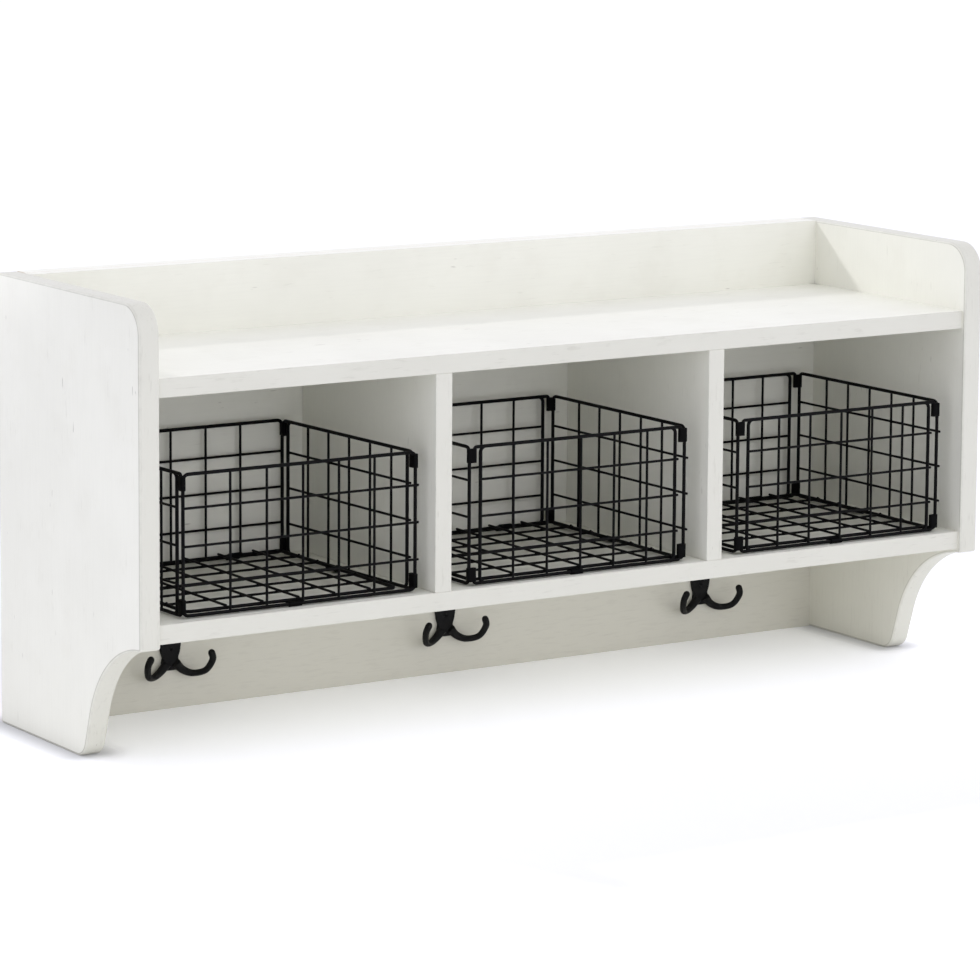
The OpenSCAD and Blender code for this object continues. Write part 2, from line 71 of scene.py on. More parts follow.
look = Vector((math.sin(heading) * math.cos(drop), math.cos(heading) * math.cos(drop), -math.sin(drop)))
level = look.cross(Vector((0, 0, 1))).normalized()
rise = level.cross(look)
cam_x = math.cos(roll) * level + math.sin(roll) * rise
cam_y = -math.sin(roll) * level + math.cos(roll) * rise
camera = placed("camera", bpy.data.cameras.new("camera"))
camera.data.lens = 162.1
camera.data.sensor_width = 36
camera.data.shift_y = -0.153
camera.data.clip_end = 200
camera.matrix_world = Matrix.Translation(eye) @ Matrix((cam_x, cam_y, -look)).transposed().to_4x4()
bpy.context.scene.camera = camera

# ---- Studio -------------------------------------------------------------------------
# A white floor without a horizon, under a white sky that is a little brighter to the
# right. A crisp key light comes from behind and above, two broad soft ones from the front,
# and a narrow spot from the left lights the inside of the right panel.
bpy.context.scene.view_settings.view_transform = "Standard"
lamp_colour = (0.94, 0.945, 1.0)


def sun(name, towards, strength, softness):
    """A far light in the direction towards, its softness in degrees."""
    lamp = placed(name, bpy.data.lights.new(name, "SUN"))
    lamp.data.energy = strength
    lamp.data.angle = math.radians(softness)
    lamp.data.color = lamp_colour
    lamp.rotation_euler = Vector(towards).to_track_quat("Z", "Y").to_euler()


sun("key", (-0.23, 0.76, 0.60), 0.518, 1.5)
sun("front_right", (0.50, -0.75, 0.90), 0.18, 50.0)
sun("front", (-0.10, -0.86, 0.45), 0.325, 60.0)

spot_aim = Vector((0.486, -0.165, 0.0))
spot_towards, spot_far = Vector((-6.0, 1.27, 1.0)).normalized(), 6.0
spot = placed("spot", bpy.data.lights.new("spot", "SPOT"))
spot.data.energy = 250.0
spot.data.color = lamp_colour
spot.data.spot_size, spot.data.spot_blend = math.radians(5.0), 1.0
spot.data.shadow_soft_size = 0.05
spot.location = spot_aim + spot_far * spot_towards
spot.rotation_euler = spot_towards.to_track_quat("Z", "Y").to_euler()


class Strand:
    """A number, colour or direction that varies over a surface. Arithmetic on it adds
    Math nodes."""

    def __init__(self, finish, socket):
        self.finish, self.socket = finish, socket

    def math(self, operation, a, b=0.0):
        return self.finish.node("ShaderNodeMath", {"operation": operation}, {0: a, 1: b})

    def __add__(self, other):
        return self.math("ADD", self, other)

    def __radd__(self, other):
        return self.math("ADD", other, self)

    def __sub__(self, other):
        return self.math("SUBTRACT", self, other)

    def __rsub__(self, other):
        return self.math("SUBTRACT", other, self)

    def __mul__(self, other):
        return self.math("MULTIPLY", self, other)

    def __rmul__(self, other):
        return self.math("MULTIPLY", other, self)

    def __pow__(self, other):
        return self.math("POWER", self, other)

    def __abs__(self):
        return self.math("ABSOLUTE", self)

    def over(self, limit):
        """How far the value is past a limit, and 0 up to it."""
        return self.math("MAXIMUM", self - limit, 0.0)


class Nodes:
    """The nodes of a material or of the sky, with one shader that they end in."""

    def __init__(self, tree, shader, place):
        self.tree, self.shader = tree, tree.nodes[shader]
        self.place = self.node("ShaderNodeTexCoord", out=place)

    def node(self, kind, settings=None, sockets=None, out=0):
        made = self.tree.nodes.new(kind)
        for key, value in (settings or {}).items():
            setattr(made, key, value)
        for key, value in (sockets or {}).items():
            if isinstance(value, Strand):
                self.tree.links.new(value.socket, made.inputs[key])
            else:
                made.inputs[key].default_value = value
        return Strand(self, made.outputs[out])

    def part(self, axis):
        """The place along X, Y or Z."""
        return self.node("ShaderNodeSeparateXYZ", None, {"Vector": self.place}, out=axis)

    def set(self, **sockets):
        for key, value in sockets.items():
            socket = self.shader.inputs[key.replace("_", " ")]
            if isinstance(value, Strand):
                self.tree.links.new(value.socket, socket)
            else:
                socket.default_value = value


class Finish(Nodes):
    """A surface finish: one material and the nodes that make it."""

    def __init__(self, name):
        self.material = bpy.data.materials.new(name)
        self.material.use_nodes = True
        super().__init__(self.material.node_tree, "Principled BSDF", "Object")

    def attribute(self, name):
        return self.node("ShaderNodeAttribute", {"attribute_name": name}, out="Fac")

    def stretched(self, scale):
        """The place, squeezed along the axes whose scale is small."""
        return self.node("ShaderNodeMapping", None, {"Vector": self.place, "Scale": scale})

    def noise(self, place, scale, detail, rough):
        return self.node("ShaderNodeTexNoise", None,
                         {"Vector": place, "Scale": scale, "Detail": detail, "Roughness": rough})

    def step(self, value, low, high, to_low=0.0, to_high=1.0):
        """Runs softly from to_low to to_high while the value runs from low to high."""
        return self.node("ShaderNodeMapRange", {"interpolation_type": "SMOOTHSTEP"},
                         {"Value": value, "From Min": low, "From Max": high,
                          "To Min": to_low, "To Max": to_high})

    def mix(self, share, a, b):
        return self.node("ShaderNodeMix", {"data_type": "RGBA"}, {"Factor": share, 6: a, 7: b}, out=2)

    def bump(self, height, strength, distance):
        return self.node("ShaderNodeBump", None,
                         {"Strength": strength, "Distance": distance, "Height": height})


sky = bpy.data.worlds.new("sky")
sky.use_nodes = True
sky_level, sky_slope = 0.945, 0.15
sky_nodes = Nodes(sky.node_tree, "Background", "Generated")
sky_nodes.set(Color=(1, 1, 1.10, 1), Strength=sky_level + sky_nodes.part(0) * sky_slope)
bpy.context.scene.world = sky

# The floor glows faintly along a line of glow_half to either side at glow_y, and less and
# less away from it, so that only the shade close to the shelf is seen.
floor_z = cad_low.z
floor_half, floor_back = 60, 90
glow_half, glow_y, glow_most, glow_reach = 0.50, -0.18, 0.235, 1.2
fall_past_ends, fall_behind = 2.5, 2
floor_corners = ((-floor_half, -floor_half), (floor_half, -floor_half),
                 (floor_half, floor_back), (-floor_half, floor_back))
floor_mesh = bpy.data.meshes.new("studio_floor")
floor_mesh.from_pydata([(x, y, floor_z) for x, y in floor_corners], [], [(0, 1, 2, 3)])
studio_floor = placed("studio_floor", floor_mesh)
seamless = Finish("white_seamless")
past_end = abs(seamless.part(0)).over(glow_half) * fall_past_ends
past_line = (seamless.part(1) - glow_y).over(0.0) * fall_behind + (glow_y - seamless.part(1)).over(0.0)
glow = glow_most * (1 - seamless.step((past_end ** 2 + past_line ** 2) ** 0.5, 0, glow_reach)) ** 2
# Painted shade: the floor's colour is darker, and it glows less, close round the two
# feet, which reach from the wall to foot_end.
painted_foot_shade_reach, painted_foot_shade_most, foot_end = 0.050, 0.55, -0.170
foot_low, foot_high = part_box("side_panel_right")
past_x = abs(abs(seamless.part(0)) - (foot_low.x + foot_high.x) / 2).over((foot_high.x - foot_low.x) / 2)
past_y = abs(seamless.part(1) - foot_end / 2).over(-foot_end / 2)
painted_foot_shade = painted_foot_shade_most * (1 - seamless.step((past_x ** 2 + past_y ** 2) ** 0.5, 0, painted_foot_shade_reach)) ** 2
# the floor's colour runs towards dark grey in the painted shade round the feet
seamless.set(Base_Color=seamless.mix(painted_foot_shade, (0.950, 0.954, 0.966, 1), (0.22, 0.22, 0.22, 1)),
             Roughness=0.9, Specular_IOR_Level=0.1, Emission_Color=glow * (1 - painted_foot_shade),
             Emission_Strength=1.0)
floor_mesh.materials.append(seamless.material)

# ---- Painted case boards ------------------------------------------------------------
# Boards of solid wood and panel, glued and dowelled, their arrises rounded before the
# case is sprayed white, brushed, lightly glazed and rubbed back. The wall side is bare.
side_arris, board_arris, divider_arris = 0.0022, 0.0007, 0.0006
back_arris, hidden_arris = 0.00025, 0.0002
wear_width, beside_arris, beside_wear = 0.005, 0.0004, 0.9
top_corner, nose_radius = 0.030, 0.0028
foot_radius, foot_lead, foot_rise, foot_lean, toe_radius = 0.117, 0.007, 0.010, 17.5, 0.020
shelf_ease = 0.009
shelf_tuck, back_tuck = 0.0008, 0.0004
paint_end_y, back_paint_end_y = -0.0008, -0.0186


# An outline point is (place, outward normal, how far it can be moved in along that
# normal, the direction that it is moved in from there on).
def rays(start, end, steps):
    """Directions from one angle to another, in degrees."""
    angles = [math.radians(start + (end - start) * i / steps) for i in range(steps + 1)]
    return [Vector((math.cos(a), math.sin(a))) for a in angles]


def turn(centre, radius, start, end, steps=6):
    """The points of a rounded outer corner, by the directions of its normals."""
    normals = rays(start, end, steps)
    mitre = (normals[0] + normals[-1]) / (1 + normals[0].dot(normals[-1]))
    return [(Vector(centre) + radius * n, n, radius, mitre) for n in normals]


def hollow(centre, radius, start, end, steps):
    """The points of a concave arc, by the directions from its centre."""
    return [(Vector(centre) + radius * ray, -ray, math.inf, -ray) for ray in rays(start, end, steps)]


def rectangle(low, high, radius, far_radius=None, far_steps=6):
    """The outline of a plain board; far_radius rounds the two corners of the high first
    side, or takes them off straight with far_steps of 1."""
    (u0, v0), (u1, v1) = low, high
    far = far_radius or radius
    return (turn((u0 + radius, v0 + radius), radius, 180, 270)
            + turn((u1 - far, v0 + far), far, 270, 360, far_steps)
            + turn((u1 - far, v1 - far), far, 0, 90, far_steps)
            + turn((u0 + radius, v1 - radius), radius, 90, 180))


def moved_in(point, inset):
    """Where a point of the outline is once it has moved in by the inset."""
    place, normal, reach, mitre = point
    if inset <= reach:
        return place - inset * normal
    return place - reach * normal - (inset - reach) * mitre


def weld(mesh):
    """Merges the points of the mesh that lie together."""
    shape = bmesh.new()
    shape.from_mesh(mesh)
    bmesh.ops.remove_doubles(shape, verts=shape.verts, dist=1e-6)
    shape.to_mesh(mesh)
    shape.free()


def board(name, outline, along, low, high, arris, far_arris=None):
    """A board with rounded arrises: the outline swept along axis 0, 1 or 2 from low to high.
    Its "arris" attribute is 1 on the rounded edges and beside_wear close beside them. It
    fades to 0 within wear_width on the faces, and in the middle of the narrow sides. Its
    "edge" attribute is 1 on the narrow sides."""
    far_arris = far_arris or arris
    quarter = [math.radians(v) for v in (0, 22.5, 45, 67.5, 90)]
    # (inset, place along the axis, arris, edge)
    loops = [(wear_width, low, 0, 0), (arris + beside_arris, low, beside_wear, 0)]
    loops += [(arris * (1 - math.sin(a)), low + arris * (1 - math.cos(a)), 1, math.sin(a)) for a in quarter]
    loops += [(0, low + arris + beside_arris, beside_wear, 1), (0, (low + high) / 2, 0, 1),
              (0, high - far_arris - beside_arris, beside_wear, 1)]
    loops += [(far_arris * (1 - math.cos(a)), high - far_arris * (1 - math.sin(a)), 1, math.cos(a))
              for a in quarter]
    loops += [(far_arris + beside_arris, high, beside_wear, 0), (wear_width, high, 0, 0)]
    count = len(outline)
    points = []
    for inset, t, _, _ in loops:
        for point in outline:
            u, v = moved_in(point, inset)
            points.append({0: (t, u, v), 1: (v, t, u), 2: (u, v, t)}[along])

    def at(loop, step):
        return loop * count + step % count

    last = len(loops) - 1
    faces = [[at(k, i), at(k, i + 1), at(k + 1, i + 1), at(k + 1, i)]
             for k in range(last) for i in range(count)]
    faces.append([at(0, i) for i in reversed(range(count))])
    faces.append([at(last, i) for i in range(count)])
    mesh = bpy.data.meshes.new(name)
    mesh.from_pydata(points, [], faces)
    for title, column in (("arris", 2), ("edge", 3)):
        values = [loop[column] for loop in loops for point in outline]
        mesh.attributes.new(title, "FLOAT", "POINT").data.foreach_set("value", values)
    mesh.shade_smooth()
    weld(mesh)
    return placed(name, mesh)


def bare_wood(f, fibres):
    """The colour of planed softwood, from places that are squeezed along its grain."""
    ring = f.noise(fibres, 130.0, 5.0, 0.62)
    pore = f.noise(fibres, 620.0, 3.0, 0.6)
    wood = f.mix(f.step(ring, 0.3, 0.7), (0.50, 0.36, 0.215, 1), (0.66, 0.51, 0.33, 1))
    return f.mix(f.step(pore, 0.55, 0.75) * 0.4, wood, (0.33, 0.22, 0.12, 1))


# where paint and bare wood meet, the thinner lines near the top, and the painted shade below the shelf
paint_border, border_ragged = 0.0002, 0.0006
line_thin, line_thin_from, line_thin_to = 0.3, 0.0005, 0.004
painted_shade_fade = 0.004


def brushed_paint(name, grain, bare_behind, edge_glaze_and_shade=0.0, lined=0.0,
                  painted_shade_below=None, painted_shade_within=0.6, painted_shade_share=0.80, painted_above=None):
    """White paint brushed along the grain (0, 1 or 2), glazed and rubbed. Whatever lies
    behind bare_behind, on the wall side, is left as bare wood, and so is all below
    painted_above. edge_glaze_and_shade darkens the narrow edges, as glaze and painted
    shade together, and lined draws a line of glaze along the faces' arrises. Below
    painted_shade_below, and no further from the middle than painted_shade_within, shade is
    painted in: the paint is darker and warmer by the share painted_shade_share."""
    f = Finish(name)
    along = [1.0, 1.0, 1.0]
    along[grain] = 0.05
    fibres = f.stretched(tuple(along))
    along[grain] = 0.12
    strokes = f.stretched(tuple(along))
    cloud = f.noise(f.place, 9.0, 3.0, 0.55)
    blotch = f.noise(f.place, 24.0, 3.0, 0.6)
    bristle = f.noise(fibres, 430.0, 3.0, 0.6)
    paint = f.mix(f.step(cloud, 0.3, 0.7), (0.808, 0.804, 0.714, 1), (0.838, 0.835, 0.744, 1))
    paint = f.mix(f.step(bristle, 0.40, 0.72) * 0.09, paint, (0.70, 0.695, 0.62, 1))
    paint = f.mix(f.step(blotch, 0.50, 0.72) * 0.10, paint, (0.67, 0.65, 0.55, 1))
    # glaze left in short brush marks, more of them on the narrow edges
    edge = f.attribute("edge")
    glaze = f.noise(strokes, 330.0, 3.0, 0.6)
    glazed = f.step(glaze + edge * 0.04, 0.61, 0.71) * f.step(blotch + edge * 0.05, 0.46, 0.64)
    paint = f.mix(glazed * (edge * 0.14 + 0.15), paint, (0.46, 0.45, 0.38, 1))
    # small marks where the paint is knocked through
    mark = f.noise(strokes, 300.0, 1.0, 0.5)
    marked = f.step(mark, 0.71, 0.76) * f.step(f.noise(f.place, 37.0, 1.0, 0.5), 0.61, 0.67)
    paint = f.mix(marked * 0.45, paint, (0.26, 0.24, 0.19, 1))
    # the narrow edges are darker, glaze and painted shade together; the arrises are rubbed
    arris = f.attribute("arris")
    ragged = f.noise(f.place, 75.0, 4.0, 0.65)
    paint = f.mix(edge * edge_glaze_and_shade, paint, (0.50, 0.49, 0.41, 1))
    rubbed = f.step(arris, 0.88, 1.0) * f.step(ragged, 0.36, 0.62)
    paint = f.mix(rubbed * 0.13, paint, (0.40, 0.385, 0.33, 1))
    beside = f.step(arris, 0.35, 0.9) * f.step(ragged, 0.56, 0.70)
    paint = f.mix(beside * 0.08, paint, (0.44, 0.425, 0.37, 1))
    if lined:
        line = f.step(arris, 0.94, 1.0) * f.step(edge, 0.6, 0.3)
        line *= f.step(f.part(2), cad_high.z - line_thin_from, cad_high.z - line_thin_to, line_thin)
        paint = f.mix(line * lined, paint, (0.40, 0.39, 0.32, 1))
    # painted shade under the bottom shelf: below it the paint is darker and warmer
    if painted_shade_below is not None:
        below = f.step(f.part(2), painted_shade_below, painted_shade_below - painted_shade_fade)
        below *= f.step(abs(f.part(0)), painted_shade_within + paint_border, painted_shade_within)
        painted_shade_tone = f.mix(f.step(glaze, 0.50, 0.68), (0.648, 0.629, 0.545, 1), (0.610, 0.590, 0.510, 1))
        paint = f.mix(below * painted_shade_share, paint, painted_shade_tone)
    bare = f.step(f.part(1) + (ragged - 0.5) * border_ragged,
                  bare_behind - paint_border, bare_behind + paint_border)
    if painted_above:
        bare = 1 - (1 - bare) * f.step(f.part(2), painted_above - 2 * paint_border, painted_above)
    surface = bristle * 0.6 + glaze * 0.4 - glazed * 0.25 - marked * 0.5
    f.set(Base_Color=f.mix(bare, paint, bare_wood(f, fibres)), Normal=f.bump(surface, 0.14, 0.0005),
          Roughness=f.step(bristle, 0.3, 0.7, 0.46, 0.56) + glazed * 0.12 + bare * 0.2,
          Specular_IOR_Level=0.4)
    return f.material


def fitted(piece, name, paint):
    """Puts a painted board in the place of its plain solid."""
    piece.data.materials.append(paint)
    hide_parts(name)
    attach(piece, "case")


shelf_low, shelf_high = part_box("bottom_shelf")
# painted shade below the bottom shelf, on the side panels' inner faces and on the back panel
side_paint = brushed_paint("white_paint_side", 2, paint_end_y, edge_glaze_and_shade=0.50, lined=0.60,
                           painted_shade_below=shelf_low.z, painted_shade_within=shelf_high.x + paint_border, painted_shade_share=0.42)
upright_paint = brushed_paint("white_paint_upright", 2, paint_end_y, edge_glaze_and_shade=0.50)
level_paint = brushed_paint("white_paint_level", 0, paint_end_y, edge_glaze_and_shade=0.50)
back_paint = brushed_paint("white_paint_back", 0, back_paint_end_y, painted_shade_below=shelf_low.z)

for name in ("side_panel_left", "side_panel_right"):
    low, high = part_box(name)
    # the foot's hollow runs into an edge that leans back to a round toe
    heel_y, arc_z = low.y - foot_lead, low.z + foot_rise
    slope = math.radians(foot_lean)
    edge_y = heel_y + foot_radius * math.cos(slope)
    edge_y += (foot_rise + foot_radius * math.sin(slope)) * math.tan(slope)
    toe_y = edge_y + toe_radius * math.tan(math.pi / 4 - slope / 2)
    reach = math.degrees(math.acos((foot_lead + nose_radius) / (foot_radius + nose_radius)))
    nose_z = arc_z + (foot_radius + nose_radius) * math.sin(math.radians(reach))
    outline = (turn((high.y - nose_radius, low.z + nose_radius), nose_radius, 270, 360)
               + turn((high.y - nose_radius, high.z - nose_radius), nose_radius, 0, 90)
               + turn((low.y + top_corner, high.z - top_corner), top_corner, 90, 180, 20)
               + turn((low.y + nose_radius, nose_z), nose_radius, 180, 180 + reach)
               + hollow((heel_y, arc_z), foot_radius, reach, foot_lean, 40)[1:]
               + turn((toe_y, low.z + toe_radius), toe_radius, 180 + foot_lean, 270, 12))
    fitted(board(name + "_board", outline, 0, low.x, high.x, side_arris), name, side_paint)

for name in ("top_shelf", "bottom_shelf"):
    low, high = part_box(name)
    # tucked into its neighbours so that the joints are tight; the far side of the outline
    # is the shelf's wall side, so its axes are exchanged
    low, high = low - Vector((shelf_tuck, 0, 0)), high + Vector((shelf_tuck, shelf_tuck, 0))
    outline = [(place.yx, normal.yx, reach, mitre.yx) for place, normal, reach, mitre
               in reversed(rectangle((low.y, low.x), (high.y, high.x), board_arris, shelf_ease, 1))]
    fitted(board(name + "_board", outline, 2, low.z, high.z, board_arris), name, level_paint)

for name in ("divider_left", "divider_right"):
    low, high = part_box(name)
    outline = rectangle((low.y, low.z), (high.y, high.z), divider_arris)
    fitted(board(name + "_board", outline, 0, low.x, high.x, divider_arris), name, upright_paint)

low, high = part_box("back_panel")
outline = rectangle((low.z, low.x - back_tuck), (high.z, high.x + back_tuck), back_arris)
back_board = board("back_panel_board", outline, 1, low.y, high.y, back_arris, hidden_arris)
fitted(back_board, "back_panel", back_paint)

# ---- Rails and dowels ---------------------------------------------------------------
# Softwood rails behind the back panel, one cut out for the hanger plates and painted only
# on top, and beech dowels glued into the boards.
def coated(mesh, material):
    """Makes the whole mesh of one material."""
    mesh.materials.clear()
    mesh.materials.append(material)


rail_paint = brushed_paint("rail_wood", 0, bare_behind=1.0, painted_above=cad_high.z)
for name in ("hanging_rail", "hook_rail", "side_dowels", "divider_dowels"):
    coated(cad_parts[name].data, rail_paint)


# ---- Screws -------------------------------------------------------------------------
# Countersunk wood screws with a cross recess, driven flush: zinc-plated from the back
# through the rails and the panel, and black through the hooks.
class Pattern:
    """A Geometry Nodes tree with named inputs."""

    def __init__(self, name, **inputs):
        self.tree = bpy.data.node_groups.new(name, "GeometryNodeTree")
        kinds = {float: "NodeSocketFloat", int: "NodeSocketInt", tuple: "NodeSocketVector",
                 bpy.types.Material: "NodeSocketMaterial"}
        self.tree.interface.new_socket("Start", in_out="INPUT", socket_type="NodeSocketGeometry")
        self.tree.interface.new_socket("Shape", in_out="OUTPUT", socket_type="NodeSocketGeometry")
        self.names = {}
        for title, kind in inputs.items():
            made = self.tree.interface.new_socket(title, in_out="INPUT", socket_type=kinds[kind])
            self.names[title] = made.identifier
        self.entry = self.tree.nodes.new("NodeGroupInput")
        self.exit = self.tree.nodes.new("NodeGroupOutput")

    def input(self, name):
        return self.entry.outputs[name]

    def node(self, kind, settings=None, sockets=None, out=0):
        made = self.tree.nodes.new(kind)
        for key, value in (settings or {}).items():
            setattr(made, key, value)
        for key, value in (sockets or {}).items():
            for item in value if isinstance(value, list) else [value]:
                if isinstance(item, bpy.types.NodeSocket):
                    self.tree.links.new(item, made.inputs[key])
                else:
                    made.inputs[key].default_value = item
        return made.outputs[out]

    def maths(self, operation, a, b):
        return self.node("ShaderNodeMath", {"operation": operation}, {0: a, 1: b})

    def xyz(self, x=0.0, y=0.0, z=0.0):
        return self.node("ShaderNodeCombineXYZ", None, {"X": x, "Y": y, "Z": z})

    def finish(self, shape):
        """Ends the tree: real geometry, in its material."""
        real = self.node("GeometryNodeRealizeInstances", None, {"Geometry": shape})
        dressed = self.node("GeometryNodeSetMaterial", None,
                            {"Geometry": real, "Material": self.input("Material")})
        self.tree.links.new(dressed, self.exit.inputs["Shape"])

    def grow(self, name, start, **values):
        """A plain mesh object grown by the tree from the mesh start."""
        seed = placed(name, start)
        modifier = seed.modifiers.new("pattern", "NODES")
        modifier.node_group = self.tree
        for title, value in values.items():
            modifier[self.names[title]] = value
        grown = bpy.data.meshes.new_from_object(seed.evaluated_get(bpy.context.evaluated_depsgraph_get()))
        seed.modifiers.clear()
        seed.data = grown
        grown.name = name
        return seed


# the cross recess in shares of the head's diameter, and the tip's length in the shank's
recess_long, recess_wide, recess_deep, tip_long = 0.58, 0.15, 0.34, 1.5
tip_r = 0.0002
screw = Pattern("wood_screw", Head=float, Shank=float, Length=float, Material=bpy.types.Material)
head_r = screw.maths("MULTIPLY", screw.input("Head"), 0.5)
shank_r = screw.maths("MULTIPLY", screw.input("Shank"), 0.5)
head_h = screw.maths("SUBTRACT", head_r, shank_r)
tip_h = screw.maths("MULTIPLY", screw.input("Shank"), tip_long)
shank_h = screw.maths("SUBTRACT", screw.maths("SUBTRACT", screw.input("Length"), tip_h), head_h)
head = screw.node("GeometryNodeMeshCone", None,
                  {"Vertices": 32, "Radius Top": shank_r, "Radius Bottom": head_r, "Depth": head_h})
slot_long, slot_wide, slot_deep = [screw.maths("MULTIPLY", screw.input("Head"), share)
                                   for share in (recess_long, recess_wide, recess_deep)]
bar_a = screw.node("GeometryNodeMeshCube", None, {"Size": screw.xyz(slot_long, slot_wide, slot_deep)})
bar_b = screw.node("GeometryNodeMeshCube", None, {"Size": screw.xyz(slot_wide, slot_long, slot_deep)})
head = screw.node("GeometryNodeMeshBoolean", {"operation": "DIFFERENCE"}, {0: head, 1: [bar_a, bar_b]})
shank = screw.node("GeometryNodeMeshCylinder", None, {"Vertices": 12, "Radius": shank_r, "Depth": shank_h})
shank_z = screw.maths("ADD", head_h, screw.maths("MULTIPLY", shank_h, 0.5))
shank = screw.node("GeometryNodeTransform", None, {"Geometry": shank, "Translation": screw.xyz(z=shank_z)})
tip = screw.node("GeometryNodeMeshCone", None,
                 {"Vertices": 12, "Radius Top": tip_r, "Radius Bottom": shank_r, "Depth": tip_h})
tip = screw.node("GeometryNodeTransform", None,
                 {"Geometry": tip, "Translation": screw.xyz(z=screw.maths("ADD", head_h, shank_h))})
whole = screw.node("GeometryNodeJoinGeometry", None, {"Geometry": [head, shank, tip]})
aim = screw.node("GeometryNodeInputNamedAttribute", {"data_type": "FLOAT_VECTOR"}, {"Name": "aim"})
turned = screw.node("FunctionNodeAlignRotationToVector", {"axis": "Z"}, {"Vector": aim})
screw.finish(screw.node("GeometryNodeInstanceOnPoints", None,
                        {"Points": screw.input("Start"), "Instance": whole, "Rotation": turned}))


def drive(name, places, aim, finish, **sizes):
    """Screws with the middles of their heads at places, driven along aim."""
    spots = bpy.data.meshes.new(name + "_spots")
    spots.from_pydata(places, [], [])
    spots.attributes.new("aim", "FLOAT_VECTOR", "POINT").data.foreach_set("vector", list(aim) * len(places))
    made = screw.grow(name + "_driven", spots, Material=finish, **sizes)
    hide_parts(name)
    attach(made, "case")
    return made


zinc = Finish("zinc_plate")
mottle = zinc.noise(zinc.place, 900.0, 3.0, 0.6)
zinc.set(Base_Color=zinc.mix(mottle, (0.50, 0.51, 0.53, 1), (0.66, 0.67, 0.68, 1)), Metallic=1.0,
         Roughness=zinc.step(mottle, 0.3, 0.7, 0.28, 0.42), Normal=zinc.bump(mottle, 0.1, 0.0001))
blacked = Finish("black_screw")
scratch = blacked.noise(blacked.place, 2200.0, 3.0, 0.6)
blacked.set(Base_Color=blacked.mix(scratch, (0.003, 0.003, 0.003, 1), (0.010, 0.010, 0.0104, 1)),
            Roughness=0.50, Specular_IOR_Level=0.12, Normal=blacked.bump(scratch, 0.15, 0.0001))

screw_head, screw_shank, back_screw_long, rail_screw_long, hook_screw_long = 0.008, 0.004, 0.040, 0.030, 0.026
hanger_screw_head, hanger_screw_shank, hanger_screw_long = 0.0065, 0.0035, 0.014
back_screw_x, back_screw_y = (-0.42, -0.14, 0.14, 0.42), -0.018
rail_screw_x = (-0.24, 0.0, 0.24)
hanger_x, hanger_screw_z = (-0.4064, 0.4064), (-0.016, 0.024)
hook_x, hook_front_y, hook_screw_z = (-0.333, 0.0, 0.333), -0.037, (0.0, 0.030)
hook_low_screw_z = floor_z + 0.063
shelf_z = [sum(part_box(name)[end].z for end in (0, 1)) / 2 for name in ("bottom_shelf", "top_shelf")]
rail_z = [sum(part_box(name)[end].z for end in (0, 1)) / 2 for name in ("hook_rail", "hanging_rail")]
for made in (
        drive("back_screws", [(x, back_screw_y, z) for x in back_screw_x for z in shelf_z], (0, -1, 0),
              zinc.material, Head=screw_head, Shank=screw_shank, Length=back_screw_long),
        drive("rail_screws", [(x, 0, z) for x in rail_screw_x for z in rail_z], (0, -1, 0),
              zinc.material, Head=screw_head, Shank=screw_shank, Length=rail_screw_long),
        drive("hanger_screws", [(x, 0, z) for x in hanger_x for z in hanger_screw_z], (0, -1, 0),
              zinc.material, Head=hanger_screw_head, Shank=hanger_screw_shank, Length=hanger_screw_long)):
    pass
hook_places = [(x, hook_front_y, hook_low_screw_z + z) for x in hook_x for z in hook_screw_z]
drive("hook_screws", hook_places, (0, 1, 0), blacked.material,
              Head=screw_head, Shank=screw_shank, Length=hook_screw_long)

# ---- Keyhole plates -----------------------------------------------------------------
# Two zinc-plated steel keyhole plates, pressed from sheet and let into the hanging rail.
# The plain solids are shown as they are, in the zinc of the screws.
coated(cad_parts["hanger_plates"].data, zinc.material)

# ---- Cast double hooks --------------------------------------------------------------
# Each plate and its two arms are one iron casting, so they run into each other, with the
# grain of the sand under matt black paint.
# fused in cells of casting_grain, then smoothed casting_passes times
casting_grain, casting_passes = 0.00055, 8
iron = Finish("black_iron")
sand = iron.noise(iron.place, 1300.0, 3.0, 0.6)
pit = iron.noise(iron.place, 420.0, 2.0, 0.5)
iron.set(Base_Color=iron.mix(sand, (0.002, 0.002, 0.002, 1), (0.009, 0.009, 0.009, 1)),
         Specular_IOR_Level=0.13, Roughness=iron.step(pit, 0.3, 0.7, 0.46, 0.60),
         Normal=iron.bump(sand * 0.6 + pit * 0.6, 0.35, 0.0003))
for name in ("coat_hook_left", "coat_hook_middle", "coat_hook_right"):
    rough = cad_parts[name].data.copy()
    weld(rough)
    casting = placed(name + "_casting", rough)
    remesh = casting.modifiers.new("fuse", "REMESH")
    remesh.mode, remesh.voxel_size, remesh.use_smooth_shade = "VOXEL", casting_grain, True
    soften = casting.modifiers.new("soften", "SMOOTH")
    soften.factor, soften.iterations = 0.5, casting_passes
    cast = bpy.data.meshes.new_from_object(casting.evaluated_get(bpy.context.evaluated_depsgraph_get()))
    coated(cast, iron.material)
    casting.modifiers.clear()
    casting.data = cast
    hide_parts(name)
    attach(casting, "case")

# ---- Basket wire walls and floors ---------------------------------------------------
# Each is a closed loop of mild steel rod with bent corners and thinner wires welded
# across it in both directions, their cut ends standing a little proud, powder coated.
coat = Finish("black_powder_coat")
peel = coat.noise(coat.place, 1500.0, 2.0, 0.5)
coat.set(Base_Color=coat.mix(peel, (0.0015, 0.0015, 0.0015, 1), (0.0045, 0.0045, 0.0045, 1)),
         Specular_IOR_Level=0.07, Roughness=coat.step(peel, 0.3, 0.7, 0.40, 0.50),
         Normal=coat.bump(peel, 0.2, 0.0002))

